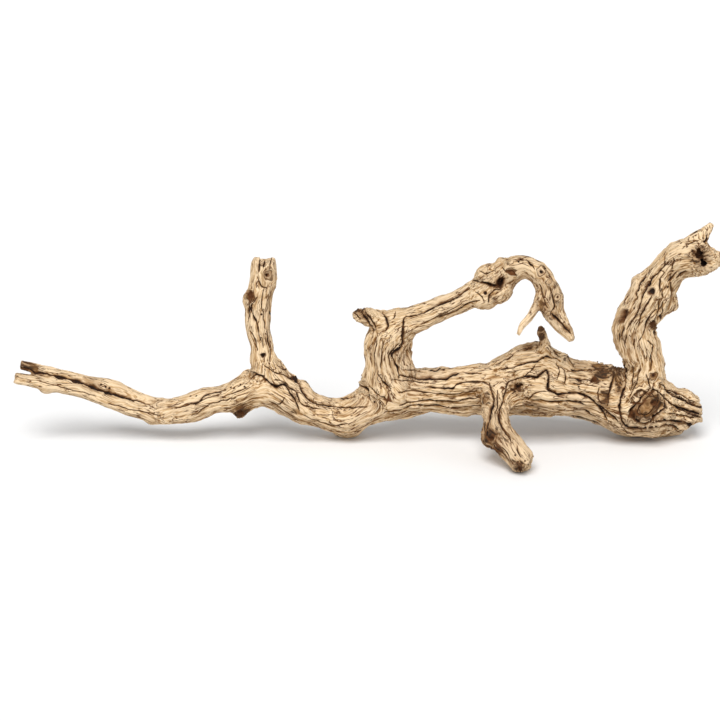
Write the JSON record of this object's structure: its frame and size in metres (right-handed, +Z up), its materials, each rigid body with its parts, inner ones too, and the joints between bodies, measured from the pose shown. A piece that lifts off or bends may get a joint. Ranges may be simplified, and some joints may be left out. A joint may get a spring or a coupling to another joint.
{
  "type": "driftwood branch",
  "caption": "Gnarled, bleached vine-wood branch that stands by itself: a twisted stem with an upright spur, a goose-necked arm, a curled neck, a prop leg and two thin canes at its tip.",
  "frame": {"origin": "centre of the bounding box, on the ground that the wood stands on", "axes": "+X along the stem towards its thick root end, +Y towards the back, +Z up; the prop leg reaches forward, towards -Y"},
  "size_m": [0.7578, 0.1504, 0.2581],
  "materials": {
    "weathered_wood": "bare dry wood, blasted clean of bark, tan with dark brown checks and knots, no varnish"
  },
  "bodies": {
    "root": {"driftwood": "weathered_wood"}
  },
  "joints": []
}
